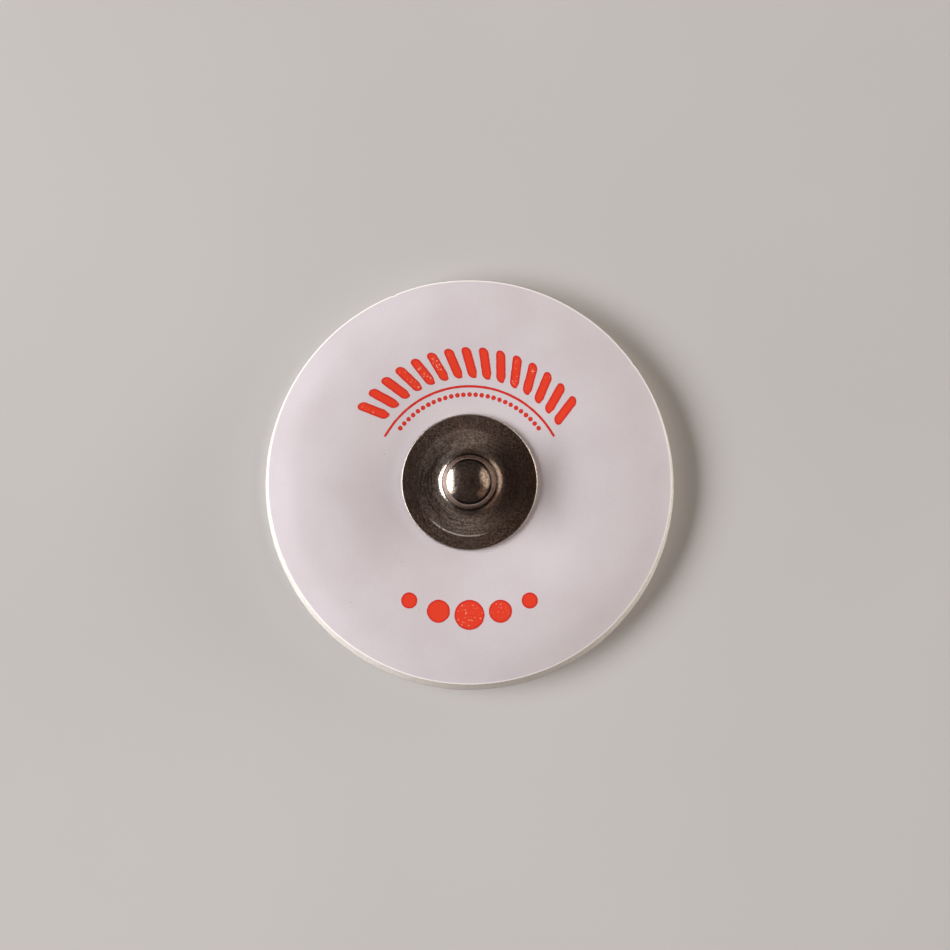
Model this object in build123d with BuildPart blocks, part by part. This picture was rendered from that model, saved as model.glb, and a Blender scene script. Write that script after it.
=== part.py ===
"""A disposable snap electrode: a foam disc with a printed film, a snap stud and a gel well.

The frame has its origin on the stud's axis in the plane of the skin side, with +Z towards
the stud. All lengths are in millimetres.
"""

import os
from math import cos, radians, sin, sqrt, tan

from build123d import *

# Foam ring
FOAM_DIAMETER = 30.0  # across the foot of the cut wall
FOAM_THICKNESS = 1.5  # at the crest of the swell
WELL_DIAMETER = 16.0  # hole that holds the gel
SKIRT_INSET = 0.25  # the cut wall leans in by this much at the film
SKIRT_SHIFT = 0.22  # the foot of the wall stands off centre, towards -Y

# Swell of the top, shared by the foam, the film and the gel: a flat seat round the stud,
# a flank up to a flat crest, a shoulder that starts down, and an edge that falls to the rim
SEAT_DEPTH = 0.40  # the seat lies this far below the crest
SEAT_MARGIN = 0.70  # the seat reaches this far past the stud's flange
FLANK_SHARE = 0.41  # the flank's part of the way from the seat to the rim
CREST_SHARE = 0.195  # the crest's part of that way
SHOULDER_SHARE = 0.20  # the shoulder's part of that way
SHOULDER_DROP = 0.15  # the foot of the shoulder lies this far below the crest
RIM_DROP = 0.60  # the rim lies this far below the crest

# Printed film
FILM_THICKNESS = 0.12
FILM_OVERHANG = 0.06  # the film stands out past the foam under it
FILM_HOLE_CLEARANCE = 0.10  # round the eyelet's post

# Snap stud, drawn from sheet
SHEET = 0.30
FLANGE_DIAMETER = 10.0
RIM_BEVEL = 0.10  # broken edges of the flange
STEP_DIAMETER = 7.6  # middle of the stamped step in the flange
STEP_HEIGHT = 0.08
STEP_RUN = 0.30  # the step slopes over this width
COLLAR_DIAMETER = 5.32  # the collar starts to rise from the flange here
COLLAR_ROUND = 1.00  # shallow sweep of the collar
COLLAR_SLOPE = 35.0  # degrees, where that sweep ends
FOOT_ROUND = 0.20  # tight turn from the collar into the neck
NECK_SLOPE = 70.0  # degrees, the neck leans in from its foot
NECK_DIAMETER = 3.44  # at its narrowest
UNDERCUT_RISE = 0.47  # the neck widens to the head over this height
HEAD_DIAMETER = 3.95
LAND_LENGTH = 0.40  # straight band that a snap connector grips
SHOULDER_RISE = 0.56  # cone between the band and the dome
DOME_DIAMETER = 3.40  # the dome breaks to the shoulder here
DOME_ROUND = 2.60

# Sensor eyelet
EYELET_DIAMETER = 9.0
EYELET_THICKNESS = 0.45
EYELET_BEVEL = 0.15
POST_CLEARANCE = 0.06  # taken off the inside of the stud's neck
TIP_CLEARANCE = 0.08  # between the upset tip of the post and the hollow head
TIP_BEVEL = 0.32

# Gel
GEL_CLEARANCE = 0.05  # between the gel and the wall of the well
GEL_BEVEL = 0.15

# Levels and radii that follow from the sizes above
foam_radius = FOAM_DIAMETER / 2
film_radius = foam_radius - SKIRT_INSET + FILM_OVERHANG
flange_radius = FLANGE_DIAMETER / 2
seat_radius = flange_radius + SEAT_MARGIN
seat_level = FOAM_THICKNESS - SEAT_DEPTH
swell_run = film_radius - seat_radius
crest_start = seat_radius + swell_run * FLANK_SHARE
crest_end = crest_start + swell_run * CREST_SHARE
shoulder_end = crest_end + swell_run * SHOULDER_SHARE
shoulder_level = FOAM_THICKNESS - SHOULDER_DROP
rim_level = FOAM_THICKNESS - RIM_DROP
edge_fall = (shoulder_level - rim_level) / (film_radius - shoulder_end)
stud_level = seat_level + FILM_THICKNESS


def swell_line(start_radius, end_radius, lift):
    """Section of the swell, from a radius on the seat to a radius on the edge."""
    start = (start_radius, seat_level + lift)
    end = (end_radius, shoulder_level - edge_fall * (end_radius - shoulder_end) + lift)
    Polyline(
        start,
        (seat_radius, seat_level + lift),
        (crest_start, FOAM_THICKNESS + lift),
        (crest_end, FOAM_THICKNESS + lift),
        (shoulder_end, shoulder_level + lift),
        end,
    )
    return start, end


def section_under_film(end_radius):
    """Half section of everything between the skin side and the film."""
    with BuildSketch(Plane.YZ) as section:
        with BuildLine():
            start, end = swell_line(0, end_radius, 0)
            Polyline(start, (0, 0), (end_radius, 0), end)
        make_face()
    return section.sketch


# Foam ring: swollen disc, cut to a leaning wall whose foot stands off centre, with the well
wall_reach = FOAM_THICKNESS / rim_level
with BuildPart() as foam_ring:
    revolve(section_under_film(foam_radius + SKIRT_SHIFT), axis=Axis.Z)
    with BuildSketch(Plane.XY):
        with Locations((0, -SKIRT_SHIFT)):
            Circle(foam_radius)
    with BuildSketch(Plane.XY.offset(FOAM_THICKNESS)):
        with Locations((0, SKIRT_SHIFT * (wall_reach - 1))):
            Circle(foam_radius - SKIRT_INSET * wall_reach)
    loft(mode=Mode.INTERSECT)
    with BuildSketch(Plane.XY):
        Circle(WELL_DIAMETER / 2)
    extrude(amount=FOAM_THICKNESS, mode=Mode.SUBTRACT)

# Snap stud: one drawn section of even thickness, turned round the axis
neck_radius = NECK_DIAMETER / 2
head_radius = HEAD_DIAMETER / 2
step_radius = STEP_DIAMETER / 2
flange_top = stud_level + SHEET
plate_top = flange_top + STEP_HEIGHT
collar_angle = radians(COLLAR_SLOPE)
neck_angle = radians(NECK_SLOPE)
collar_start = (COLLAR_DIAMETER / 2, plate_top)
collar_end = (
    collar_start[0] - COLLAR_ROUND * sin(collar_angle),
    plate_top + COLLAR_ROUND * (1 - cos(collar_angle)),
)
neck_foot = (
    collar_end[0] - FOOT_ROUND * (sin(neck_angle) - sin(collar_angle)),
    collar_end[1] + FOOT_ROUND * (cos(collar_angle) - cos(neck_angle)),
)
neck_level = neck_foot[1] + (neck_foot[0] - neck_radius) * tan(neck_angle)
land_foot = neck_level + UNDERCUT_RISE
land_top = land_foot + LAND_LENGTH
dome_edge = (DOME_DIAMETER / 2, land_top + SHOULDER_RISE)
dome_top = dome_edge[1] + DOME_ROUND - sqrt(DOME_ROUND**2 - dome_edge[0] ** 2)
with BuildPart() as snap_stud:
    with BuildSketch(Plane.YZ):
        with BuildLine():
            Polyline(
                (flange_radius, flange_top),
                (step_radius + STEP_RUN / 2, flange_top),
                (step_radius - STEP_RUN / 2, plate_top),
                collar_start,
            )
            TangentArc(collar_start, collar_end, tangent=(-1, 0))
            TangentArc(collar_end, neck_foot, tangent=(-cos(collar_angle), sin(collar_angle)))
            Polyline(
                neck_foot,
                (neck_radius, neck_level),
                (head_radius, land_foot),
                (head_radius, land_top),
                dome_edge,
            )
            TangentArc((0, dome_top), dome_edge, tangent=(1, 0))
            offset(amount=SHEET, kind=Kind.INTERSECTION, side=Side.LEFT, closed=True)
        make_face()
    revolve(axis=Axis.Z)
    chamfer(snap_stud.edges().filter_by(GeomType.CIRCLE).group_by(SortBy.RADIUS)[-1], length=RIM_BEVEL)

# Sensor eyelet: flange under the film, post through the stud's neck, tip upset in the hollow head
post_radius = neck_radius - SHEET - POST_CLEARANCE
tip_radius = head_radius - SHEET - TIP_CLEARANCE
tip_level = land_top - TIP_CLEARANCE
with BuildPart() as sensor_eyelet:
    with BuildSketch(Plane.YZ):
        with BuildLine():
            Polyline(
                (0, tip_level + TIP_BEVEL),
                (0, seat_level - EYELET_THICKNESS),
                (EYELET_DIAMETER / 2, seat_level - EYELET_THICKNESS),
                (EYELET_DIAMETER / 2, seat_level),
                (post_radius, seat_level),
                (post_radius, land_foot),
                (tip_radius, tip_level),
                (tip_radius - TIP_BEVEL, tip_level + TIP_BEVEL),
                close=True,
            )
        make_face()
    revolve(axis=Axis.Z)
    chamfer(sensor_eyelet.edges().filter_by(GeomType.CIRCLE).group_by(Axis.Z)[0], length=EYELET_BEVEL)

# Printed film: even thickness along the swell, with a hole for the post
hole_radius = post_radius + FILM_HOLE_CLEARANCE
with BuildPart() as top_label:
    with BuildSketch(Plane.YZ):
        with BuildLine():
            inner_low, rim_low = swell_line(hole_radius, film_radius, 0)
            inner_high, rim_high = swell_line(hole_radius, film_radius, FILM_THICKNESS)
            Line(inner_low, inner_high)
            Line(rim_low, rim_high)
        make_face()
    revolve(axis=Axis.Z)

# Gel: fills the well under the film and round the eyelet's flange
gel_radius = WELL_DIAMETER / 2 - GEL_CLEARANCE
with BuildPart() as gel_pad:
    revolve(section_under_film(film_radius), axis=Axis.Z)
    with BuildSketch(Plane.XY):
        Circle(gel_radius)
    extrude(amount=FOAM_THICKNESS, mode=Mode.INTERSECT)
    add(sensor_eyelet.part, mode=Mode.SUBTRACT)
    chamfer(gel_pad.edges().filter_by(GeomType.CIRCLE).group_by(Axis.Z)[0], length=GEL_BEVEL)

foam_ring.part.label = "foam_ring"
top_label.part.label = "top_label"
snap_stud.part.label = "snap_stud"
sensor_eyelet.part.label = "sensor_eyelet"
gel_pad.part.label = "gel_pad"

os.makedirs("parts", exist_ok=True)
export_step(foam_ring.part, "parts/foam_ring.step")
export_step(top_label.part, "parts/top_label.step")
export_step(snap_stud.part, "parts/snap_stud.step")
export_step(sensor_eyelet.part, "parts/sensor_eyelet.step")
export_step(gel_pad.part, "parts/gel_pad.step")
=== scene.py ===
"""Dressed model of a disposable snap electrode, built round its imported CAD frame.

Sections and patterns are worked out in millimetres, and meshes, lamps and the camera in metres.
The origin is on the stud's axis in the plane of the skin side, with +Z towards the stud.
"""

import math
from types import SimpleNamespace

import bpy
import numpy as np
from mathutils import Matrix, Vector


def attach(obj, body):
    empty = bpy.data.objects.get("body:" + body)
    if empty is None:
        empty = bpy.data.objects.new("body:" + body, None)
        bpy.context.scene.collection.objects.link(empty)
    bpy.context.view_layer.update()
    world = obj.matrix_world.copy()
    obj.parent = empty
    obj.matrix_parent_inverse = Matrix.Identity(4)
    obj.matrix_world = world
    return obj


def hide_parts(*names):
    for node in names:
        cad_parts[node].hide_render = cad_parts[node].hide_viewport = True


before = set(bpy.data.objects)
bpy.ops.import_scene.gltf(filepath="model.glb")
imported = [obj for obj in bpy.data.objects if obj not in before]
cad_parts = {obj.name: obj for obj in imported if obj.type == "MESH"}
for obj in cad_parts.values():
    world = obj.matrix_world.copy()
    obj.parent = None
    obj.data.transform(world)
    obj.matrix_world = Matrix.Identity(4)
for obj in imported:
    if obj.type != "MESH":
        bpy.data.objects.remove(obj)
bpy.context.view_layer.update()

MM = 0.001
SLIP = 0.015  # clearance that keeps touching surfaces from lying in one plane
random = np.random.default_rng(30)

# Foam and well
FOAM_RADIUS = 15.0  # at the foot of the cut wall
WALL_TOP_RADIUS = 14.75
SKIRT_SHIFT = 0.22  # the foot of the wall stands off centre, towards -Y
BASE_INSET = 0.03  # the skin side starts this far inside the foot
WELL_RADIUS = 8.0
WELL_EDGE = 0.06  # the well's wall stops this far from its two ends
CUT_WAVE = 0.02  # slow wavering of the cut along the wall
CUT_TEAR = 0.012  # torn cells along the cut
CUT_INSET = 0.02  # the cut lies this far inside the straight wall on average
CUT_START = 0.25  # share of the wall, below the film, over which the wavering sets in
CUT_SQUEEZE = 3  # the slow waves are this many times shorter up the wall than along it

# Film
FILM_RADIUS = 14.81
FILM_THICKNESS = 0.12
FILM_HOLE_RADIUS = 1.46
FACE_INSET = 0.12  # the face stops this far inside the rim
EDGE_INSET = 0.10  # the soft edge starts this far inside the rim
EDGE_LEAN = 0.01
EDGE_SOFTNESS = 0.04
RIM_WANDER = 0.018  # the rim strays from its circle by about this much
RIM_TRIM = 0.012  # the rim lies this far inside its circle on average
WANDER_RUN = 1.2  # width of the face that follows the rim
FACE_RIPPLE = 0.012
RIPPLE_RUN = 2.5  # the ripple sets in over this width outside the seat
NICKS = (  # bearing and width in degrees
    dict(bearing=112, depth=0.07, width=0.5),
    dict(bearing=97, depth=0.04, width=0.35),
    dict(bearing=36, depth=0.05, width=0.6),
    dict(bearing=318, depth=0.06, width=0.5),
    dict(bearing=203, depth=0.04, width=0.4),
)

# Print on the film: rows of marks on arcs round the stud, with angles in degrees
STROKES = dict(Radius=8.75, Middle=90, Pitch=7.6, Steps=7, Half_Length=0.78, Lean=0.28, Round=0.36)
FINE_ARC = dict(Radius=7.02, Middle=90, Pitch=0.5, Steps=114, Half_Width=0.5, Round=0.09)
DOTS = dict(Radius=6.42, Middle=90, Pitch=4.0, Steps=13, Round=0.17)
DISCS = dict(Radius=9.7, Middle=270, Pitch=13.5, Steps=2, Taper=0.23, Round=1.1)

# Swell of the top: corners of the section of the film's underside
SEAT_RADIUS = 5.7
SEAT_LEVEL = 1.1
CREST_START = 9.435
CREST_END = 11.212
CREST_LEVEL = 1.5
SHOULDER_END = 13.034
SHOULDER_LEVEL = 1.35
RIM_LEVEL = 0.9
SWELL_RADII = (0.0, SEAT_RADIUS, CREST_START, CREST_END, SHOULDER_END, FILM_RADIUS)
SWELL_HEIGHTS = (SEAT_LEVEL, SEAT_LEVEL, CREST_LEVEL, CREST_LEVEL, SHOULDER_LEVEL, RIM_LEVEL)
SWELL_SOFTNESS = 1.3  # width of the window that rounds the corners
RIM_LIFT = 0.24  # the edge was pressed less on one side
LIFT_START = 12.5
LIFT_SIDE = 15  # degrees from +X to the middle of that side

# Snap stud: flange, step, collar, neck and head
SHEET = 0.30
STUD_LEVEL = 1.22
FLANGE_RADIUS = 5.0
FLANGE_TOP = 1.52
FLANGE_FALL = 0.045
FLANGE_WARP = 0.006
WARP_START = 2.6
RIM_ROUND = 0.13
RIM_TURN = 84  # degrees of the rim's round above and below its middle
STEP_OUTER = 3.98
STEP_INNER = 3.62
PLATE_TOP = 1.60
PLATE_FALL = 0.03
PLATE_SOFTNESS = 0.16
POLISH_RUN = 0.13  # the drawn part is smooth from this far above the plate
COLLAR_RADIUS = 2.90
COLLAR_ROUND = 1.55
COLLAR_SLOPE = 33
FOOT_ROUND = 0.08
NECK_SLOPE = 70
NECK_RADIUS = 1.72
NECK_LEVEL = 2.62
NECK_SOFTNESS = 0.10
LAND_FOOT = 3.15
LAND_TOP = 3.50
HEAD_RADIUS = 1.94
SHOULDER_INSET = 0.035
SHOULDER_RISE = 0.10
SHOULDER_SOFTNESS = 0.03
DOME_EDGE_RADIUS = 1.665
DOME_ROUND = 2.75
DOME_TOP = 4.744

# Inside of the stud, about a sheet's thickness within the outside, with pairs of radius and height
HOLLOW_STEP_SHIFT = 0.04
HOLLOW_PLATE_RADIUS = 2.8
HOLLOW_SWEEP = (2.10, 1.48)
HOLLOW_FOOT = (1.70, 1.72)
HOLLOW_NECK_WALL = 0.32
HOLLOW_HEAD_RADIUS = 1.675
HOLLOW_HEAD_FOOT = 3.23
HOLLOW_HEAD_TOP = 3.47
HOLLOW_SHOULDER = (1.45, 3.93)
HOLLOW_DOME = (0.8, 4.32)
HOLLOW_SOFTNESS = 0.12

# Marks on the plate of the stud, and where painted shade and painted highlights lie on it
TURNING_BREAK = 0.22  # how fast the turning lines change round the axis
GROOVE_START = 2.17  # radius where the painted shade under the head sets in
GROOVE_FULL = 2.06
DARK_RING_START = 1.44  # radius where the painted dark ring on the head sets in
DARK_RING_FULL = 1.54
RING_BLUR = 0.03  # half width of the change from the dome to the rubbed shoulder
STEP_HIGHLIGHT_INSET = 0.05  # the painted highlight lies this far inside the foot of the step
STEP_HIGHLIGHT_SIDE = (-0.26, -0.966, 0.0)  # direction of its middle from the axis

# Eyelet and gel
EYELET_RADIUS = 4.5
EYELET_LEVEL = 0.65
EYELET_BEVEL = 0.15
EYELET_SOFTNESS = 0.05
POST_RADIUS = 1.36
TIP_RADIUS = 1.595
TIP_LEVEL = 3.79
TIP_BEVEL = 0.32
GEL_RADIUS = 7.95
GEL_BEVEL = 0.15
GEL_DISH = 0.05
GEL_EDGE = 0.05  # round of the gel's upper edge
GEL_SLOPE_GAP = 0.1  # the slope starts this far outside the seat
POCKET_SOFTNESS = 0.04

# Camera: long lens almost straight above, framed on a square picture
LENS = 180.0
SENSOR = 36.0
FRAME_WIDTH = 69.75
CAMERA_TARGET = (0.40, 0.55, 0.0)
CAMERA_BACK = (0.004, -0.017, 1.0)

# Floor, in metres, and room
BOARD_HALF = 1.2
BOARD_LEVEL = -0.02 * MM
ROOM_TONES = {  # sine of the elevation, and the room's tone there
    0.0: (0.56, 0.55, 0.54),
    0.06: (0.50, 0.49, 0.48),
    0.15: (0.13, 0.12, 0.115),
    0.45: (0.080, 0.064, 0.056),
    0.8: (0.125, 0.100, 0.090),
    0.93: (0.125, 0.096, 0.086),
    1.0: (0.105, 0.078, 0.069),
}


# Colours

def paint(red, green, blue):
    """Linear colour of an 8-bit screen colour."""
    screen = np.array([red, green, blue]) / 255
    linear = np.where(screen <= 0.04045, screen / 12.92, ((screen + 0.055) / 1.055) ** 2.4)
    return (*linear, 1.0)


def palette(**screen_colours):
    """Linear colours under their names, from 8-bit screen colours."""
    return SimpleNamespace(**{name: paint(*screen) for name, screen in screen_colours.items()})


FILM = palette(
    shade=(206, 199, 204),
    clear=(211, 205, 210),
    tooth=(174, 164, 168),
    dust=(120, 104, 100),
    # painted highlight: the cut edge and the underside are whiter than the face
    cut_edge=(250, 246, 244),
    ink=(225, 62, 38),
    squeezed_ink=(200, 40, 34),
    pinhole=(240, 170, 150),
)
FOAM = palette(
    cell_wall=(224, 220, 216),
    cell=(204, 197, 190),
    tooth=(174, 163, 153),
    coat=(230, 226, 219),
    coat_cloud=(226, 221, 212),
    coat_cell=(208, 201, 190),
    coat_bubble=(240, 238, 233),
)
NICKEL = palette(
    clear=(190, 178, 168),
    stain=(170, 153, 141),
    border=(88, 66, 59),
    # painted shade for the plate's east side
    dull_side=(92, 74, 64),
    head=(134, 122, 112),
    turning_line=(92, 79, 71),
    pepper=(76, 63, 56),
    shoulder=(234, 214, 198),
    # painted highlight for the shoulder's west side
    rubbed_shoulder=(255, 250, 246),
    # painted shade for the groove under the head and a ring inside the shoulder
    grime=(40, 31, 28),
    # painted highlight for a stretch of the step's edge
    burnish=(226, 220, 208),
    rim=(196, 188, 182),
)
SILVER = palette(clear=(178, 175, 174), bruise=(142, 136, 138), speckle=(206, 204, 202))
GEL = palette(clear=(226, 233, 236), haze=(208, 220, 226), bubble=(244, 247, 248))
BOARD = palette(dim=(192, 191, 190), clear=(196, 195, 194))


# Sections

def ease(value, start, end):
    """Rises smoothly from 0 at start to 1 at end: three squares less two cubes of the share."""
    share = np.clip((value - start) / (end - start), 0, 1)
    return share * share * (3 - 2 * share)


def waves(x, y, longest, shortest, count):
    """Gentle uneven field about 0: a sum of sine waves of random direction and phase.

    Their lengths run from the longest to the shortest, and each one's height follows its length.
    """
    total = 0
    for length in np.geomspace(longest, shortest, count):
        direction, phase = random.uniform(0, math.tau, 2)
        along = x * math.cos(direction) + y * math.sin(direction)
        total = total + length / longest * np.sin(math.tau * along / length + phase)
    return total / math.sqrt(count)


def swell(radius):
    """Height of the film's underside at a radius.

    Straight runs between the corners of the section, averaged twice over a sliding window. The runs
    go on past the axis and the rim, so that the window is full everywhere on the disc.
    """
    first, last, step = -4.0, 19.0, 0.01
    fine = np.arange(first, last, step)
    edge_fall = (SWELL_HEIGHTS[-1] - SWELL_HEIGHTS[-2]) / (SWELL_RADII[-1] - SWELL_RADII[-2])
    past_rim = np.maximum(fine - SWELL_RADII[-1], 0)
    heights = np.interp(np.abs(fine), SWELL_RADII, SWELL_HEIGHTS) + edge_fall * past_rim
    window = np.full(int(SWELL_SOFTNESS / step), step / SWELL_SOFTNESS)
    for _ in range(2):
        heights = np.convolve(heights, window, mode="same")
    return np.interp(radius, fine, heights)


def rim_lift(radius, angle):
    """Height added where the edge was pressed less, on one side of the disc.

    It grows as the square of the way from its start to the rim, and round the disc as the cosine of
    one and a half times the angle from the middle of that side, as far as the cosine is positive.
    """
    share = np.clip((radius - LIFT_START) / (FILM_RADIUS - LIFT_START), 0, 1)
    bearing = angle - math.radians(LIFT_SIDE)
    bearing = np.remainder(bearing + math.pi, math.tau) - math.pi
    side = np.cos(np.clip(1.5 * bearing, -math.pi / 2, math.pi / 2))
    return RIM_LIFT * share**2 * side


def over_swell(start, end, count, lift=0.0):
    """Section that follows the swell between two radii, raised by lift."""
    radius = np.linspace(start, end, count)
    return np.column_stack([radius, swell(radius) + lift])


def straight(start, end, count):
    """Straight stretch of a section: evenly spaced points from start to end."""
    share = np.linspace(0, 1, count)[:, None]
    return np.asarray(start) * (1 - share) + np.asarray(end) * share


def arc(centre, radius, start, end, count):
    """Round stretch of a section: points on a circle between two angles, in degrees from +r to +z."""
    angle = np.radians(np.linspace(start, end, count))
    return np.column_stack([centre[0] + radius * np.cos(angle), centre[1] + radius * np.sin(angle)])


def softened(corners, reach, count):
    """Outline through corners, each inner one replaced by a parabola that starts a reach before it.

    On a short run the parabola takes at most 0.45 of the run.
    """
    corners = np.asarray(corners, float)
    share = np.linspace(0, 1, count)[:, None]
    pieces = [corners[:1]]
    for before, corner, after in zip(corners[:-2], corners[1:-1], corners[2:]):
        back = before - corner
        ahead = after - corner
        start = corner + back * min(reach / np.linalg.norm(back), 0.45)
        end = corner + ahead * min(reach / np.linalg.norm(ahead), 0.45)
        pieces.append(start * (1 - share) ** 2 + corner * 2 * share * (1 - share) + end * share**2)
    pieces.append(corners[-1:])
    return np.vstack(pieces)


# Meshes

def angles(columns):
    """Angles round the axis, one for each column of a turned piece."""
    return np.linspace(0, math.tau, columns, endpoint=False)


def all_round(section, columns):
    """Radius and height arrays of a section that is the same at every angle."""
    return np.repeat(section[:, :1], columns, axis=1), np.repeat(section[:, 1:], columns, axis=1)


def volume(points, triangles):
    """Signed volume inside triangles: a sixth of the sum of each one's triple product."""
    a, b, c = (points[triangles[:, corner]] for corner in range(3))
    return np.einsum("ij,ij->i", a, np.cross(b, c)).sum() / 6


def turned_piece(name, radius, height, on_axis, material, **attributes):
    """Piece made by carrying a section round the axis.

    radius and height hold one row per station and one column per angle. A section that starts and
    ends on the axis closes there in two fans, and any other one closes on itself. Faces whose signed
    volume is negative are turned over. Each attribute gives one number per station.
    """
    rows, columns = radius.shape
    angle = angles(columns)
    points = np.stack([radius * np.cos(angle), radius * np.sin(angle), height], axis=-1)
    marks = {key: np.repeat(np.asarray(value, float), columns) for key, value in attributes.items()}
    if on_axis:
        first, last = points[0, :1], points[-1, :1]
        points = np.vstack([points[1:-1].reshape(-1, 3), first, last])
        index = np.arange((rows - 2) * columns).reshape(rows - 2, columns)
        here, there = index[:-1], index[1:]
        top, bottom = len(points) - 2, len(points) - 1
        fans = np.vstack([
            np.column_stack([np.full(columns, top), np.roll(index[0], -1), index[0]]),
            np.column_stack([np.full(columns, bottom), index[-1], np.roll(index[-1], -1)]),
        ])
        marks = {key: np.append(value[columns:-columns], value[[0, -1]]) for key, value in marks.items()}
    else:
        points = points.reshape(-1, 3)
        here = np.arange(rows * columns).reshape(rows, columns)
        there = np.roll(here, -1, axis=0)
        fans = np.empty((0, 3), int)
    quads = np.stack([here, np.roll(here, -1, 1), np.roll(there, -1, 1), there], axis=-1).reshape(-1, 4)
    triangles = np.vstack([quads[:, [0, 1, 2]], quads[:, [0, 2, 3]], fans])
    if volume(points, triangles) < 0:
        quads, fans = quads[:, ::-1], fans[:, ::-1]

    mesh = bpy.data.meshes.new(name)
    mesh.from_pydata((points * MM).tolist(), [], quads.tolist() + fans.tolist())
    mesh.shade_smooth()
    for key, value in marks.items():
        mesh.attributes.new(key, "FLOAT", "POINT").data.foreach_set("value", value)
    mesh.materials.append(material)
    piece = bpy.data.objects.new(name, mesh)
    bpy.context.scene.collection.objects.link(piece)
    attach(piece, "root")
    return piece


# Shader nodes

class Nodes:
    """Short calls that add nodes to one shader tree and return their output sockets."""

    def __init__(self, tree):
        self.tree = tree

    def new(self, kind, inputs=None, **settings):
        """Any node, with its settings and with values or links on its inputs."""
        node = self.tree.nodes.new(kind)
        for key, value in settings.items():
            setattr(node, key, value)
        self.feed(node, inputs or {})
        return node

    def feed(self, node, inputs):
        """Puts values or links on a node's inputs."""
        for key, value in inputs.items():
            if isinstance(value, bpy.types.NodeSocket):
                self.tree.links.new(value, node.inputs[key])
            else:
                node.inputs[key].default_value = value

    def math(self, operation, *values):
        return self.new("ShaderNodeMath", dict(enumerate(values)), operation=operation).outputs[0]

    def times(self, first, second):
        return self.math("MULTIPLY", first, second)

    def line(self, value, slope, start):
        """Start plus slope times value."""
        return self.math("MULTIPLY_ADD", value, slope, start)

    def hypotenuse(self, first, second):
        """Root of the sum of two squares."""
        return self.math("SQRT", self.math("MULTIPLY_ADD", first, first, self.times(second, second)))

    def vector(self, operation, *values):
        return self.new("ShaderNodeVectorMath", dict(enumerate(values)), operation=operation).outputs[0]

    def span(self, value, start, end, low=0.0, high=1.0):
        """Smooth step from low at start to high at end."""
        limits = {"Value": value, "From Min": start, "From Max": end, "To Min": low, "To Max": high}
        return self.new("ShaderNodeMapRange", limits, interpolation_type="SMOOTHSTEP").outputs[0]

    def noise(self, vector, scale, detail=2.0):
        settings = {"Vector": vector, "Scale": scale, "Detail": detail}
        return self.new("ShaderNodeTexNoise", settings).outputs[0]

    def cell_edges(self, vector, scale):
        """Distance to the nearest edge of a random mesh of cells."""
        settings = {"Vector": vector, "Scale": scale}
        return self.new("ShaderNodeTexVoronoi", settings, feature="DISTANCE_TO_EDGE").outputs[0]

    def mix(self, share, first, second):
        return self.new("ShaderNodeMix", {0: share, 6: first, 7: second}, data_type="RGBA").outputs[2]

    def tint(self, base, mask, strength, colour):
        """Base colour, mixed towards another one by a mask times a strength."""
        return self.mix(self.times(mask, strength), base, colour)

    def place(self, group, **inputs):
        """Output sockets of a node group, whose inputs are named with _ for each space."""
        sockets = {key.replace("_", " "): value for key, value in inputs.items()}
        return self.new("ShaderNodeGroup", sockets, node_tree=group).outputs

    def millimetres(self):
        """Object coordinates in millimetres."""
        spot = self.new("ShaderNodeTexCoord").outputs["Object"]
        return self.new("ShaderNodeVectorMath", {0: spot, "Scale": 1 / MM}, operation="SCALE").outputs[0]

    def attribute(self, name):
        return self.new("ShaderNodeAttribute", attribute_name=name).outputs["Fac"]

    def bump(self, *heights):
        """Normal of the surface with heights, in millimetres, added up on it."""
        total = heights[0]
        for height in heights[1:]:
            total = self.math("ADD", total, height)
        return self.new("ShaderNodeBump", {"Height": total, "Distance": MM}).outputs[0]


def new_group(name, inputs, outputs):
    """Empty shader node group with named sockets. Returns it with its node maker and its two ends."""
    tree = bpy.data.node_groups.new(name, "ShaderNodeTree")
    for key in inputs:
        kind = "NodeSocketVector" if key == "Vector" else "NodeSocketFloat"
        tree.interface.new_socket(name=key, in_out="INPUT", socket_type=kind)
    for key in outputs:
        tree.interface.new_socket(name=key, in_out="OUTPUT", socket_type="NodeSocketFloat")
    nodes = Nodes(tree)
    return tree, nodes, nodes.new("NodeGroupInput").outputs, nodes.new("NodeGroupOutput")


def new_material(name):
    """Material with an empty tree. Returns it with its node maker and its shader."""
    material = bpy.data.materials.new(name)
    material.use_nodes = True
    material.node_tree.nodes.clear()
    nodes = Nodes(material.node_tree)
    shader = nodes.new("ShaderNodeBsdfPrincipled")
    nodes.new("ShaderNodeOutputMaterial", {"Surface": shader.outputs[0]})
    return material, nodes, shader


def grain_group():
    """Fine tooth: two sizes of noise, the second four times as fine as the first, about 0."""
    tree, nodes, given, result = new_group("grain", ("Vector", "Scale", "Height"), ("Value", "Relief"))
    coarse = nodes.noise(given["Vector"], given["Scale"])
    fine = nodes.noise(given["Vector"], nodes.times(given["Scale"], 4.0))
    value = nodes.math("SUBTRACT", nodes.line(fine, 0.5, coarse), 0.75)
    nodes.feed(result, {"Value": value, "Relief": nodes.times(value, given["Height"])})
    return tree


def speck_group():
    """Sparse specks: round spots in the few cells of a random mesh whose own number is under the share."""
    tree, nodes, given, result = new_group("specks", ("Vector", "Scale", "Share", "Size"), ("Mask",))
    cells = nodes.new("ShaderNodeTexVoronoi", {"Vector": given["Vector"], "Scale": given["Scale"]})
    number = nodes.new("ShaderNodeSeparateColor", {0: cells.outputs["Color"]}).outputs[0]
    chosen = nodes.math("LESS_THAN", number, given["Share"])
    spot = nodes.span(cells.outputs["Distance"], given["Size"], 0.0)
    nodes.feed(result, {"Mask": nodes.times(chosen, spot)})
    return tree


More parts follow.
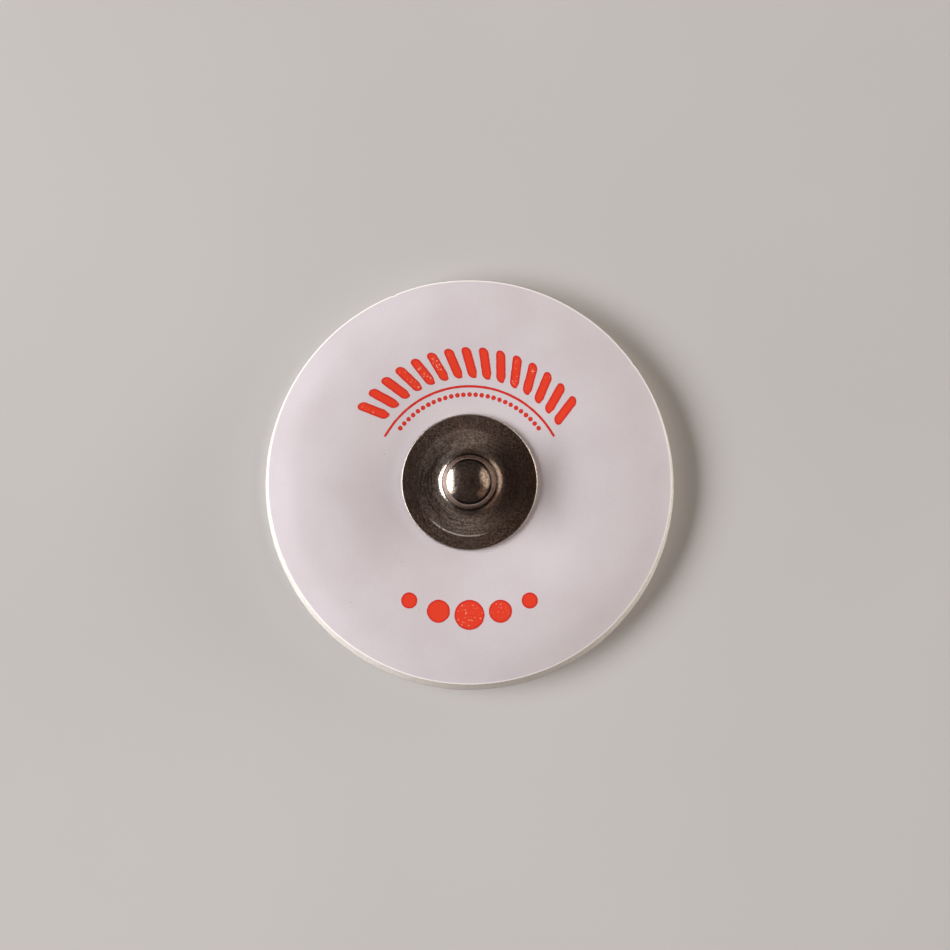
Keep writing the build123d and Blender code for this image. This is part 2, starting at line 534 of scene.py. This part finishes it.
def ink_row_group():
    """Signed distance to a row of round-ended marks on an arc round the axis.

    The angle is cut into equal pitches. In each one the mark is a box of half width and half length,
    leaning by the lean, shrunk by the taper for each step from the middle, and grown by the round.
    """
    sizes = ("Radius", "Middle", "Pitch", "Steps", "Half Width", "Half Length", "Lean", "Taper", "Round")
    tree, nodes, given, result = new_group("ink row", ("Vector", *sizes), ("Distance",))
    place = nodes.new("ShaderNodeSeparateXYZ", {0: given["Vector"]}).outputs
    reach = nodes.hypotenuse(place[0], place[1])
    bearing = nodes.math("SUBTRACT", nodes.math("ARCTAN2", place[1], place[0]), given["Middle"])
    bearing = nodes.math("WRAP", bearing, math.pi, -math.pi)
    step = nodes.math("ROUND", nodes.math("DIVIDE", bearing, given["Pitch"]))
    step = nodes.math("MAXIMUM", step, nodes.times(given["Steps"], -1.0))
    step = nodes.math("MINIMUM", step, given["Steps"])
    local = nodes.math("SUBTRACT", bearing, nodes.times(step, given["Pitch"]))
    across = nodes.times(reach, nodes.math("SINE", local))
    along = nodes.math("SUBTRACT", nodes.times(reach, nodes.math("COSINE", local)), given["Radius"])
    across = nodes.math("SUBTRACT", across, nodes.times(along, given["Lean"]))
    shrink = nodes.math("SUBTRACT", 1.0, nodes.times(given["Taper"], nodes.math("ABSOLUTE", step)))
    excess = []
    for offset, half in ((across, "Half Width"), (along, "Half Length")):
        limit = nodes.times(given[half], shrink)
        past = nodes.math("SUBTRACT", nodes.math("ABSOLUTE", offset), limit)
        excess.append(nodes.math("MAXIMUM", past, 0.0))
    edge = nodes.times(given["Round"], shrink)
    nodes.feed(result, {"Distance": nodes.math("SUBTRACT", nodes.hypotenuse(*excess), edge)})
    return tree


grain = grain_group()
specks = speck_group()
ink_row = ink_row_group()


# Materials

def print_distance(nodes, place):
    """Signed distance to the nearest mark of the print, made a little uneven by noise."""
    distance = None
    for sizes in (STROKES, FINE_ARC, DOTS, DISCS):
        row = dict(sizes, Middle=math.radians(sizes["Middle"]), Pitch=math.radians(sizes["Pitch"]))
        gap = nodes.place(ink_row, Vector=place, **row)["Distance"]
        distance = gap if distance is None else nodes.math("MINIMUM", distance, gap)
    wobble = nodes.place(grain, Vector=place, Scale=2.2, Height=0.045)["Relief"]
    return nodes.math("ADD", distance, wobble)


def film_material():
    """Matt white film with a red-orange print.

    The print is a fan of leaning strokes, a fine arc, a row of dots and a row of discs. The ink is
    squeezed darker along the edges of its marks and has pinholes in patches. Where it isn't printed,
    on its cut edge and underneath, the film is whiter, a painted highlight on the cut edge.
    """
    material, nodes, shader = new_material("printed_film")
    place = nodes.millimetres()
    distance = print_distance(nodes, place)
    printed = nodes.attribute("printed")
    ink = nodes.times(nodes.span(distance, 0.03, -0.03), printed)
    squeezed = nodes.span(distance, -0.2, -0.02)
    inner = nodes.span(distance, -0.08, -0.2)
    patch = nodes.span(nodes.noise(place, 0.35, 1.0), 0.5, 0.62)
    pinhole = nodes.times(nodes.span(nodes.noise(place, 5.5, 1.0), 0.62, 0.7), patch)
    pinhole = nodes.times(pinhole, inner)

    cloud = nodes.span(nodes.noise(place, 0.22, 3.0), 0.3, 0.7)
    tooth = nodes.place(grain, Vector=place, Scale=7.0, Height=0.0011)
    dust = nodes.place(specks, Vector=place, Scale=0.8, Share=0.09, Size=0.075)["Mask"]
    white = nodes.mix(cloud, FILM.shade, FILM.clear)
    white = nodes.mix(nodes.span(tooth["Value"], -0.35, 0.35, 0.0, 0.12), white, FILM.tooth)
    white = nodes.tint(white, dust, 0.45, FILM.dust)
    # painted highlight: the cut edge and underside are whiter than the face
    white = nodes.mix(printed, FILM.cut_edge, white)
    red = nodes.mix(squeezed, FILM.ink, FILM.squeezed_ink)
    red = nodes.tint(red, pinhole, 0.8, FILM.pinhole)

    ripple = nodes.place(grain, Vector=place, Scale=0.5, Height=0.004)["Relief"]
    deposit = nodes.times(ink, 0.006)
    nodes.feed(shader, {
        "Base Color": nodes.mix(ink, white, red),
        "Roughness": nodes.math("ADD", nodes.line(ink, -0.08, 0.82), nodes.times(tooth["Value"], 0.1)),
        "Normal": nodes.bump(tooth["Relief"], ripple, deposit),
        "Specular IOR Level": 0.15,
    })
    return material


def foam_material():
    """White closed-cell foam: cut cells of two sizes on the walls, a glossy tack coat on the skin side.

    The cells show faintly through the coat, which has small bubbles of its own.
    """
    material, nodes, shader = new_material("cut_foam")
    place = nodes.millimetres()
    small = nodes.span(nodes.cell_edges(place, 7.0), 0.0, 0.25)
    large = nodes.span(nodes.cell_edges(place, 2.6), 0.0, 0.12, 0.6, 1.0)
    cells = nodes.times(small, large)
    tooth = nodes.place(grain, Vector=place, Scale=9.0, Height=0.006)
    cut = nodes.mix(cells, FOAM.cell_wall, FOAM.cell)
    cut = nodes.mix(nodes.span(tooth["Value"], -0.3, 0.3, 0.0, 0.4), cut, FOAM.tooth)

    tack = nodes.attribute("tack")
    cloud = nodes.span(nodes.noise(place, 0.6, 3.0), 0.3, 0.7)
    bubbles = nodes.place(specks, Vector=place, Scale=1.1, Share=0.16, Size=0.2)["Mask"]
    coat = nodes.mix(cloud, FOAM.coat, FOAM.coat_cloud)
    coat = nodes.tint(coat, cells, 0.35, FOAM.coat_cell)
    coat = nodes.tint(coat, bubbles, 0.5, FOAM.coat_bubble)

    pits = nodes.times(nodes.times(cells, -0.02), nodes.math("SUBTRACT", 1.0, tack))
    relief = nodes.times(tooth["Relief"], nodes.line(tack, -0.8, 1.0))
    nodes.feed(shader, {
        "Base Color": nodes.mix(tack, cut, coat),
        "Roughness": nodes.line(tack, -0.55, 0.85),
        "Normal": nodes.bump(pits, relief),
    })
    return material


def stud_zones(nodes, place):
    """Where a point of the stud lies.

    reach is its distance from the axis, around its direction from the axis, eastward the cosine of
    its bearing from +X, border 1 outside the stamped step, head 1 above the gripping band, and polish
    1 on the drawn part above the flange.
    """
    spot = nodes.new("ShaderNodeSeparateXYZ", {0: place}).outputs
    reach = nodes.hypotenuse(spot[0], spot[1])
    return SimpleNamespace(
        height=spot[2],
        reach=reach,
        around=nodes.vector("NORMALIZE", nodes.vector("MULTIPLY", place, (1.0, 1.0, 0.0))),
        eastward=nodes.math("DIVIDE", spot[0], reach),
        border=nodes.span(reach, STEP_INNER, STEP_OUTER),
        head=nodes.span(spot[2], LAND_FOOT, LAND_TOP),
        polish=nodes.attribute("polish"),
    )


def turning_lines(nodes, zones):
    """Lines round the axis: grain that changes fast along the section and slowly round the axis."""
    along = nodes.math("ADD", zones.reach, zones.height)
    along = nodes.new("ShaderNodeCombineXYZ", {"Z": along}).outputs[0]
    across = nodes.vector("MULTIPLY", zones.around, (TURNING_BREAK,) * 3)
    ring_place = nodes.vector("ADD", across, along)
    return nodes.place(grain, Vector=ring_place, Scale=6.5, Height=0.0016)


def plate_tone(nodes, zones, stain, tooth, rings):
    """Tone of the plate: stains, a brown border, painted shade on the east side, a dull head, turning lines
    and pepper.
    """
    metal = nodes.mix(stain, NICKEL.clear, NICKEL.stain)
    metal = nodes.tint(metal, zones.border, 0.85, NICKEL.border)
    # painted shade: the plate darkens towards its east side
    metal = nodes.mix(nodes.span(zones.eastward, 0.1, 0.9, 0.0, 0.75), metal, NICKEL.dull_side)
    metal = nodes.tint(metal, zones.head, 0.6, NICKEL.head)
    lines = nodes.span(rings["Value"], -0.10, 0.12, 0.0, 0.75)
    metal = nodes.tint(metal, lines, nodes.math("SUBTRACT", 1.0, zones.polish), NICKEL.turning_line)
    pepper = nodes.span(tooth["Value"], -0.12, 0.14)
    return nodes.tint(metal, pepper, nodes.line(zones.polish, -0.05, 0.7), NICKEL.pepper)


def marked_tone(nodes, zones, metal):
    """The plate's tone with its marks.

    The shoulder is rubbed bright, and its west side gets a painted highlight. Painted shade darkens the
    groove under the head and a ring inside the shoulder, but not on the west side. A stretch of the
    step's edge gets a painted highlight, and the rim is burnished.
    """
    past_dome = nodes.span(zones.reach, DOME_EDGE_RADIUS - RING_BLUR, DOME_EDGE_RADIUS + RING_BLUR)
    shoulder = nodes.times(zones.head, past_dome)
    # painted highlight: the shoulder is lightened on its west side
    shoulder_tone = nodes.mix(nodes.span(zones.eastward, -0.45, -0.9), NICKEL.shoulder, NICKEL.rubbed_shoulder)
    metal = nodes.tint(metal, shoulder, 0.9, shoulder_tone)

    # painted shade: dark in the groove under the head and in a ring inside the shoulder, kept off the lit
    # west side
    under_head = nodes.span(zones.height, LAND_FOOT, NECK_LEVEL)
    groove = nodes.times(nodes.span(zones.reach, GROOVE_START, GROOVE_FULL), under_head)
    inside_shoulder = nodes.span(zones.reach, DOME_EDGE_RADIUS + RING_BLUR, DOME_EDGE_RADIUS)
    dark_ring = nodes.times(nodes.span(zones.reach, DARK_RING_START, DARK_RING_FULL), inside_shoulder)
    dark_ring = nodes.times(dark_ring, zones.head)
    grime = nodes.times(nodes.math("MAXIMUM", groove, dark_ring), nodes.span(zones.eastward, -0.8, -0.3))
    metal = nodes.tint(metal, grime, 0.85, NICKEL.grime)

    # painted highlight along a stretch of the step's edge, towards -Y
    towards = nodes.new("ShaderNodeVectorMath", {0: zones.around, 1: STEP_HIGHLIGHT_SIDE}, operation="DOT_PRODUCT")
    stretch = nodes.span(towards.outputs["Value"], 0.78, 0.97)
    from_edge = nodes.math("ABSOLUTE", nodes.math("SUBTRACT", zones.reach, STEP_OUTER - STEP_HIGHLIGHT_INSET))
    burnish = nodes.times(nodes.span(from_edge, 0.09, 0.02), stretch)
    metal = nodes.tint(metal, burnish, 0.65, NICKEL.burnish)
    rim = nodes.span(zones.reach, FLANGE_RADIUS - RIM_ROUND, FLANGE_RADIUS)
    return nodes.mix(rim, metal, NICKEL.rim)


def turning_direction(nodes, place, zones):
    """Direction that stretches the reflection: round the axis, and random in the border and on the head."""
    turning = nodes.new("ShaderNodeTangent", direction_type="RADIAL", axis="Z").outputs[0]
    crystal = nodes.new("ShaderNodeTexNoise", {"Vector": place, "Scale": 9.0}).outputs["Color"]
    crystal = nodes.vector("SUBTRACT", crystal, (0.5, 0.5, 0.5))
    uneven = nodes.math("MAXIMUM", nodes.line(zones.border, 0.75, 0.12), zones.head)
    mixed = nodes.new("ShaderNodeMix", {0: uneven, 4: turning, 5: crystal}, data_type="VECTOR")
    return nodes.vector("NORMALIZE", mixed.outputs[1])


def nickel_material():
    """Dull nickel plate on drawn sheet: grain, turning lines, stains, rubbed edges, painted shade and
    highlights.

    The drawn part is smoother than the flange, and the border outside the step is duller.
    """
    material, nodes, shader = new_material("nickel_plate")
    place = nodes.millimetres()
    zones = stud_zones(nodes, place)
    tooth = nodes.place(grain, Vector=place, Scale=6.5, Height=0.0024)
    rings = turning_lines(nodes, zones)
    stain = nodes.span(nodes.noise(place, 0.45, 3.0), 0.42, 0.68)
    metal = marked_tone(nodes, zones, plate_tone(nodes, zones, stain, tooth, rings))
    dull = nodes.math("ADD", nodes.line(stain, 0.04, 0.35), nodes.times(rings["Value"], 0.2))
    dull = nodes.math("ADD", nodes.line(zones.polish, -0.17, dull), nodes.times(zones.border, 0.09))
    relief = nodes.times(tooth["Relief"], nodes.line(zones.polish, 0.5, 1.0))
    nodes.feed(shader, {
        "Base Color": metal,
        "Metallic": 1.0,
        "Roughness": dull,
        "Normal": nodes.bump(relief, rings["Relief"]),
        "Anisotropic": 0.6,
        "Tangent": turning_direction(nodes, place, zones),
    })
    return material


def silver_material():
    """Grey silver chloride coat on moulded plastic: speckled, matt, a little bruised."""
    material, nodes, shader = new_material("silver_coat")
    place = nodes.millimetres()
    tooth = nodes.place(grain, Vector=place, Scale=6.0, Height=0.004)
    bruise = nodes.span(nodes.noise(place, 0.5, 3.0), 0.4, 0.7)
    grey = nodes.mix(bruise, SILVER.clear, SILVER.bruise)
    grey = nodes.mix(nodes.span(tooth["Value"], -0.2, 0.4), grey, SILVER.speckle)
    nodes.feed(shader, {
        "Base Color": grey,
        "Metallic": 0.3,
        "Roughness": nodes.line(tooth["Value"], 0.2, 0.5),
        "Normal": nodes.bump(tooth["Relief"]),
    })
    return material


def gel_material():
    """Wet clear gel with a faint blue cast, haze and small bubbles."""
    material, nodes, shader = new_material("wet_gel")
    place = nodes.millimetres()
    bubbles = nodes.place(specks, Vector=place, Scale=1.6, Share=0.3, Size=0.16)["Mask"]
    haze = nodes.span(nodes.noise(place, 0.5, 2.0), 0.3, 0.7)
    ripple = nodes.place(grain, Vector=place, Scale=0.7, Height=0.02)["Relief"]
    nodes.feed(shader, {
        "Base Color": nodes.tint(nodes.mix(haze, GEL.clear, GEL.haze), bubbles, 0.5, GEL.bubble),
        "Roughness": nodes.line(haze, 0.05, 0.04),
        "Transmission Weight": 0.85,
        "IOR": 1.36,
        "Normal": nodes.bump(ripple, nodes.times(bubbles, -0.02)),
    })
    return material


def floor_material():
    """Plain pale floor, faintly clouded."""
    material, nodes, shader = new_material("pale_board")
    cloud = nodes.span(nodes.noise(nodes.millimetres(), 0.02, 3.0), 0.3, 0.7)
    colour = nodes.mix(cloud, BOARD.dim, BOARD.clear)
    nodes.feed(shader, {"Base Color": colour, "Roughness": 0.8, "Specular IOR Level": 0.15})
    return material


# Pieces

def make_film():
    """Printed film: the swell's section and the same section a thickness higher, joined by a soft edge.

    The rim wanders a little, with a few small nicks, each a bell curve of the bearing. The face
    ripples away from the seat and lifts at the rim on one side.
    """
    columns = 640
    edge_start = FILM_RADIUS - EDGE_INSET
    edge_top = swell(FILM_RADIUS) + FILM_THICKNESS
    edge = softened([
        (edge_start, swell(edge_start) + FILM_THICKNESS),
        (FILM_RADIUS, edge_top),
        (FILM_RADIUS - EDGE_LEAN, edge_top - FILM_THICKNESS),
        (edge_start, swell(edge_start)),
    ], EDGE_SOFTNESS, count=5)[1:-1]
    top = over_swell(FILM_HOLE_RADIUS, FILM_RADIUS - FACE_INSET, count=84, lift=FILM_THICKNESS)
    low = over_swell(FILM_RADIUS - FACE_INSET, FILM_HOLE_RADIUS, count=30)
    section = np.vstack([top, edge, low])
    radius, height = all_round(section, columns)

    angle = angles(columns)
    rim_x, rim_y = FILM_RADIUS * np.cos(angle), FILM_RADIUS * np.sin(angle)
    wander = RIM_WANDER * waves(rim_x, rim_y, longest=9.0, shortest=0.6, count=14) - RIM_TRIM
    for nick in NICKS:
        wander -= nick["depth"] * np.exp(-((np.degrees(angle) - nick["bearing"]) / nick["width"]) ** 2)
    radius = radius + wander * ease(radius, FILM_RADIUS - WANDER_RUN, FILM_RADIUS)
    x, y = radius * np.cos(angle), radius * np.sin(angle)
    ripple = FACE_RIPPLE * waves(x, y, longest=9.0, shortest=2.5, count=9)
    height = height + ripple * ease(radius, SEAT_RADIUS, SEAT_RADIUS + RIPPLE_RUN)
    height = height + rim_lift(radius, angle)
    printed = np.r_[np.ones(len(top)), np.zeros(len(edge) + len(low))]
    piece = turned_piece("film_sheet", radius, height, False, film_material(), printed=printed)
    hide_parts("top_label")


def make_foam():
    """Foam ring: the swell on top, a leaning cut wall, a flat skin side and the wall of the well.

    The wall's foot is a circle that stands off centre, so its distance from the axis at an angle is
    the root of the radius squared less the square of the shift times the cosine, less the shift times
    the sine. The cut wavers along the wall.
    """
    columns = 640
    top_count, wall_count, base_count, well_count = 14, 26, 24, 8
    angle = angles(columns)
    top = over_swell(WELL_RADIUS, WALL_TOP_RADIUS, top_count, lift=-SLIP)
    top_radius, top_height = all_round(top, columns)
    top_height = top_height + rim_lift(top_radius, angle)

    foot = np.sqrt(FOAM_RADIUS**2 - (SKIRT_SHIFT * np.cos(angle)) ** 2) - SKIRT_SHIFT * np.sin(angle)
    share = np.linspace(0, 1, wall_count + 1)[1:, None]
    wall_radius = WALL_TOP_RADIUS + (foot - WALL_TOP_RADIUS) * share
    wall_height = (top[-1, 1] + rim_lift(WALL_TOP_RADIUS, angle)) * (1 - share)
    round_wall = angle * FOAM_RADIUS
    cut = CUT_WAVE * waves(round_wall, CUT_SQUEEZE * wall_height, longest=6.0, shortest=0.35, count=22)
    cut = cut + CUT_TEAR * waves(round_wall, wall_height, longest=1.2, shortest=0.12, count=16)
    wall_radius = wall_radius + (cut - CUT_INSET) * ease(share, 0, CUT_START)

    base_start = 1 - BASE_INSET / (FOAM_RADIUS - WELL_RADIUS)
    base_share = np.linspace(base_start, 0, base_count)[:, None]
    base_radius = WELL_RADIUS + base_share * (wall_radius[-1] - WELL_RADIUS)
    base_height = np.zeros_like(base_radius)
    well = straight((WELL_RADIUS, WELL_EDGE), (WELL_RADIUS, top[0, 1] - WELL_EDGE), well_count)
    well_radius, well_height = all_round(well, columns)

    radius = np.vstack([top_radius, wall_radius, base_radius, well_radius])
    height = np.vstack([top_height, wall_height, base_height, well_height])
    tack = np.r_[np.zeros(top_count + wall_count), np.ones(base_count), np.zeros(well_count)]
    piece = turned_piece("foam_body", radius, height, False, foam_material(), tack=tack)
    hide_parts("foam_ring")


def stud_outside():
    """Outside of the stud's section, from the dome's top to under the flange's rim.

    The dome is a wide arc that breaks to a steep shoulder. The collar is a wide shallow arc, and a
    tight one turns it into the steep neck.
    """
    dome_end = math.degrees(math.acos(DOME_EDGE_RADIUS / DOME_ROUND))
    dome = arc((0, DOME_TOP - DOME_ROUND), DOME_ROUND, 90, dome_end, count=26)
    mid_land = (LAND_FOOT + LAND_TOP) / 2
    shoulder = softened([
        dome[-2],
        dome[-1],
        (HEAD_RADIUS - SHOULDER_INSET, LAND_TOP + SHOULDER_RISE),
        (HEAD_RADIUS, LAND_TOP),
        (HEAD_RADIUS, mid_land),
    ], SHOULDER_SOFTNESS, count=6)[1:]
    collar_centre = np.array([COLLAR_RADIUS, PLATE_TOP + COLLAR_ROUND])
    collar = arc(collar_centre, COLLAR_ROUND, 270 - COLLAR_SLOPE, 270, count=14)
    foot_centre = collar[0] + (collar_centre - collar[0]) * FOOT_ROUND / COLLAR_ROUND
    foot = arc(foot_centre, FOOT_ROUND, 270 - NECK_SLOPE, 270 - COLLAR_SLOPE, count=8)
    undercut = softened([
        (HEAD_RADIUS, mid_land),
        (HEAD_RADIUS, LAND_FOOT),
        (NECK_RADIUS, NECK_LEVEL),
        foot[0],
    ], NECK_SOFTNESS, count=8)[1:-1]
    rim_radius = FLANGE_RADIUS - RIM_ROUND
    rim_top = FLANGE_TOP - FLANGE_FALL
    plate = softened([
        collar[-1],
        (STEP_INNER, PLATE_TOP - PLATE_FALL),
        (STEP_OUTER, FLANGE_TOP),
        (rim_radius, rim_top),
    ], PLATE_SOFTNESS, count=10)
    rim = arc((rim_radius, rim_top - RIM_ROUND), RIM_ROUND, RIM_TURN, -RIM_TURN, count=14)
    return np.vstack([dome[:-1], shoulder, undercut, foot, collar[1:], plate[1:], rim])


def stud_inside():
    """Inside of the stud's section, from under the flange's rim up to the hollow of the dome."""
    return softened([
        (FLANGE_RADIUS - RIM_ROUND, STUD_LEVEL),
        (STEP_OUTER - HOLLOW_STEP_SHIFT, STUD_LEVEL),
        (STEP_INNER - HOLLOW_STEP_SHIFT, PLATE_TOP - SHEET),
        (HOLLOW_PLATE_RADIUS, PLATE_TOP - SHEET),
        HOLLOW_SWEEP,
        HOLLOW_FOOT,
        (NECK_RADIUS - HOLLOW_NECK_WALL, NECK_LEVEL),
        (HOLLOW_HEAD_RADIUS, HOLLOW_HEAD_FOOT),
        (HOLLOW_HEAD_RADIUS, HOLLOW_HEAD_TOP),
        HOLLOW_SHOULDER,
        HOLLOW_DOME,
        (0, DOME_TOP - SHEET),
    ], HOLLOW_SOFTNESS, count=5)


def make_stud():
    """Snap stud: one drawn section carried round the axis, with a flange that is slightly warped."""
    columns = 288
    section = np.vstack([stud_outside(), stud_inside()])
    radius, height = all_round(section, columns)
    angle = angles(columns)
    x, y = radius * np.cos(angle), radius * np.sin(angle)
    warp = FLANGE_WARP * waves(x, y, longest=7.0, shortest=2.0, count=6)
    height = height + warp * ease(radius, WARP_START, FLANGE_RADIUS)
    polish = ease(section[:, 1], PLATE_TOP, PLATE_TOP + POLISH_RUN)
    piece = turned_piece("stud_shell", radius, height, True, nickel_material(), polish=polish)
    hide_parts("snap_stud")


def make_eyelet():
    """Sensor eyelet: a flange with a bevelled edge, a post and an upset tip, all turned."""
    columns = 160
    face = SEAT_LEVEL - SLIP
    section = softened([
        (0, TIP_LEVEL),
        (TIP_RADIUS - TIP_BEVEL, TIP_LEVEL),
        (TIP_RADIUS, TIP_LEVEL - TIP_BEVEL),
        (POST_RADIUS, LAND_FOOT),
        (POST_RADIUS, face),
        (EYELET_RADIUS, face),
        (EYELET_RADIUS, EYELET_LEVEL + EYELET_BEVEL),
        (EYELET_RADIUS - EYELET_BEVEL, EYELET_LEVEL),
        (0, EYELET_LEVEL),
    ], EYELET_SOFTNESS, count=5)
    radius, height = all_round(section, columns)
    piece = turned_piece("eyelet_button", radius, height, True, silver_material())
    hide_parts("sensor_eyelet")


def make_gel():
    """Gel: fills the well under the film and round the eyelet, with a slightly dished wet face.

    The dish is deepest on the axis and falls off as the fourth power of the share of the radius.
    """
    columns = 192
    pocket = EYELET_RADIUS + SLIP
    floor = EYELET_LEVEL - SLIP
    ceiling = SEAT_LEVEL - SLIP
    upper = softened([
        (0, floor),
        (pocket - EYELET_BEVEL, floor),
        (pocket, EYELET_LEVEL + EYELET_BEVEL),
        (pocket, ceiling),
        (SEAT_RADIUS, ceiling),
    ], POCKET_SOFTNESS, count=4)
    slope = over_swell(SEAT_RADIUS + GEL_SLOPE_GAP, GEL_RADIUS - GEL_EDGE, count=12, lift=-SLIP)
    wall = softened([
        slope[-1],
        (GEL_RADIUS, slope[-1, 1]),
        (GEL_RADIUS, GEL_BEVEL),
        (GEL_RADIUS - GEL_BEVEL, 0.0),
    ], GEL_EDGE, count=5)[1:]
    face_radius = np.linspace(GEL_RADIUS - GEL_BEVEL, 0, 40)[1:]
    dish = GEL_DISH * (1 - (face_radius / GEL_RADIUS) ** 4)
    section = np.vstack([upper, slope, wall, np.column_stack([face_radius, dish])])
    radius, height = all_round(section, columns)
    piece = turned_piece("gel_body", radius, height, True, gel_material())
    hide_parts("gel_pad")


make_film()
make_foam()
make_stud()
make_eyelet()
make_gel()


# Floor, light and camera

def make_floor():
    """Square floor under the object, far wider than the view."""
    corners = [(-1, -1), (1, -1), (1, 1), (-1, 1)]
    mesh = bpy.data.meshes.new("board")
    points = [(x * BOARD_HALF, y * BOARD_HALF, BOARD_LEVEL) for x, y in corners]
    mesh.from_pydata(points, [], [(0, 1, 2, 3)])
    mesh.materials.append(floor_material())
    board = bpy.data.objects.new("board", mesh)
    bpy.context.scene.collection.objects.link(board)


def make_panel(name, azimuth, elevation, distance, wide, high, radiance, colour):
    """Soft light panel that faces the origin. Azimuth runs from +X towards +Y, in degrees.

    Its two sizes are given for each metre of its distance, and it is as bright from any distance.
    """
    lamp = bpy.data.lights.new(name, "AREA")
    lamp.shape = "ELLIPSE"
    lamp.size = wide * distance
    lamp.size_y = high * distance
    lamp.energy = math.pi * lamp.size * lamp.size_y * radiance
    lamp.color = colour
    panel = bpy.data.objects.new(name, lamp)
    around, above = math.radians(azimuth), math.radians(elevation)
    level = math.cos(above)
    outward = Vector((math.cos(around) * level, math.sin(around) * level, math.sin(above)))
    panel.location = outward * distance
    panel.rotation_euler = outward.to_track_quat("Z", "Y").to_euler()
    bpy.context.scene.collection.objects.link(panel)


def make_world():
    """Studio room: pale low down, dark half way up and a little lighter towards the ceiling."""
    world = bpy.data.worlds.new("studio")
    bpy.context.scene.world = world
    world.use_nodes = True
    world.node_tree.nodes.clear()
    nodes = Nodes(world.node_tree)
    direction = nodes.new("ShaderNodeTexCoord").outputs["Generated"]
    rise = nodes.new("ShaderNodeSeparateXYZ", {0: direction}).outputs["Z"]
    ramp = nodes.new("ShaderNodeValToRGB", {0: rise})
    elements = ramp.color_ramp.elements
    while len(elements) < len(ROOM_TONES):
        elements.new(1.0)
    for element, (position, tone) in zip(elements, ROOM_TONES.items()):
        element.position = position
        element.color = (*tone, 1.0)
    light = nodes.new("ShaderNodeBackground", {"Color": ramp.outputs[0]})
    nodes.new("ShaderNodeOutputWorld", {"Surface": light.outputs[0]})


def make_camera():
    """Camera that looks at its target from the distance at which the frame has its width."""
    target = Vector(CAMERA_TARGET) * MM
    back = Vector(CAMERA_BACK).normalized()
    right = Vector((0.0, 1.0, 0.0)).cross(back).normalized()
    up = back.cross(right)
    data = bpy.data.cameras.new("camera")
    data.lens = LENS
    data.sensor_width = SENSOR
    data.clip_start = 0.01
    data.clip_end = 10.0
    camera = bpy.data.objects.new("camera", data)
    turn = Matrix((right, up, back)).transposed().to_4x4()
    distance = FRAME_WIDTH * MM * LENS / SENSOR
    camera.matrix_world = Matrix.Translation(target + back * distance) @ turn
    bpy.context.scene.collection.objects.link(camera)
    bpy.context.scene.camera = camera


make_floor()
make_panel(
    "key", azimuth=178, elevation=24, distance=0.9, wide=1.133, high=0.392,
    radiance=13.5, colour=(1.0, 0.985, 0.985),
)
make_panel(
    "fill", azimuth=12, elevation=38, distance=2.0, wide=1.0, high=0.483,
    radiance=1.9, colour=(1.0, 0.89, 0.78),
)
make_panel(
    "warm fill", azimuth=-38, elevation=36, distance=2.0, wide=0.5, high=0.433,
    radiance=0.45, colour=(1.0, 0.68, 0.55),
)
make_panel(
    "low fill", azimuth=16, elevation=5, distance=2.0, wide=1.167, high=0.15,
    radiance=14.0, colour=(1.0, 0.95, 0.90),
)
make_world()
make_camera()
bpy.context.scene.view_settings.view_transform = "Standard"
